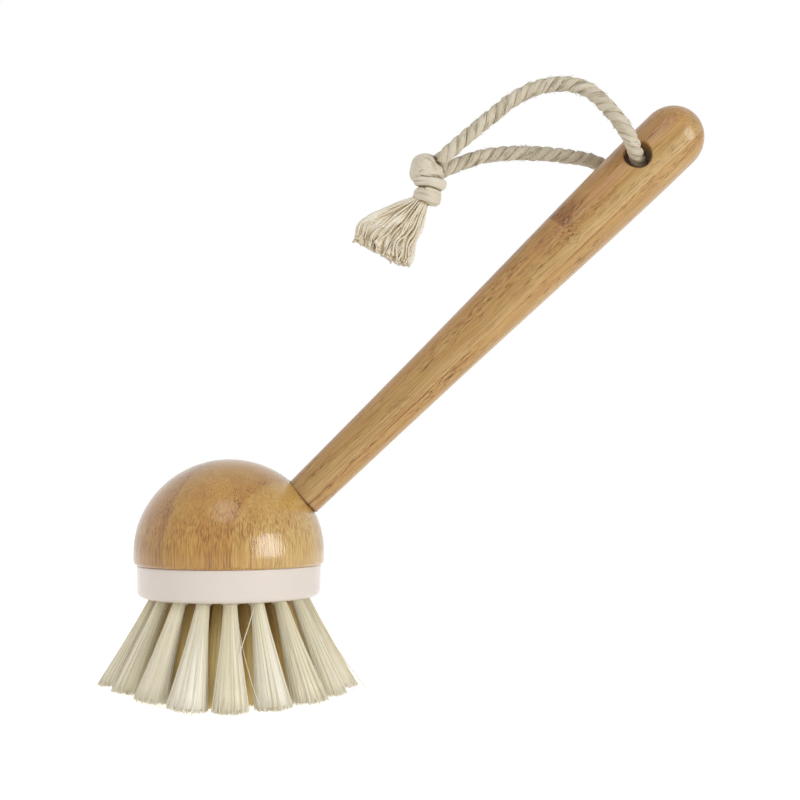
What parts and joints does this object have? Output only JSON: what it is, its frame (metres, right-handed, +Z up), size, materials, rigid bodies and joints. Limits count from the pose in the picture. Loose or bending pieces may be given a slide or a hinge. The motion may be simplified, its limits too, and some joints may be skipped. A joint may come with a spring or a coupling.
{
  "type": "dish brush",
  "caption": "Dish brush with a round ball head, a plate of tilted bristle tufts, a long tapered wooden handle and a knotted rope loop to hang it by.",
  "frame": {"origin": "on the head's axis, at the level of the bristle ends that the brush stands on", "axes": "+Z up along the head's axis, +X towards the side that the handle leans to, -Y towards the viewer"},
  "size_m": [0.1905, 0.0796, 0.1922],
  "materials": {
    "bamboo": "satin",
    "cream_plastic": "semi-gloss",
    "insert_plastic": "matte",
    "bristle": "satin",
    "anchor_wire": "bright",
    "cotton": "matte"
  },
  "bodies": {
    "handle_assembly": {"head_dome": "bamboo", "handle": "bamboo", "socket_insert": "insert_plastic", "hanging_cord": "cotton", "cord_knot": "cotton", "cord_tassel": "cotton"},
    "brush_head": {"brush_plate": "cream_plastic", "tuft_outer_01": "bristle", "tuft_outer_02": "bristle", "tuft_outer_03": "bristle", "tuft_outer_04": "bristle", "tuft_outer_05": "bristle", "tuft_outer_06": "bristle", "tuft_outer_07": "bristle", "tuft_outer_08": "bristle", "tuft_outer_09": "bristle", "tuft_outer_10": "bristle", "tuft_outer_11": "bristle", "tuft_outer_12": "bristle", "tuft_outer_13": "bristle", "tuft_outer_14": "bristle", "tuft_outer_15": "bristle", "tuft_outer_16": "bristle", "tuft_outer_17": "bristle", "tuft_outer_18": "bristle", "tuft_middle_01": "bristle", "tuft_middle_02": "bristle", "tuft_middle_03": "bristle", "tuft_middle_04": "bristle", "tuft_middle_05": "bristle", "tuft_middle_06": "bristle", "tuft_middle_07": "bristle", "tuft_middle_08": "bristle", "tuft_middle_09": "bristle", "tuft_middle_10": "bristle", "tuft_middle_11": "bristle", "tuft_middle_12": "bristle", "tuft_inner_01": "bristle", "tuft_inner_02": "bristle", "tuft_inner_03": "bristle", "tuft_inner_04": "bristle", "tuft_inner_05": "bristle", "tuft_inner_06": "bristle", "tuft_inner_07": "bristle", "tuft_inner_08": "bristle", "tuft_core_01": "bristle", "tuft_core_02": "bristle", "tuft_core_03": "bristle", "tuft_core_04": "bristle", "tuft_centre": "bristle", "tuft_anchors": "anchor_wire"}
  },
  "joints": [
    {"name": "head_release", "type": "slide", "parent": "handle_assembly", "child": "brush_head", "axis": [0, 0, -1], "range_m": [0, 0.012]}
  ]
}
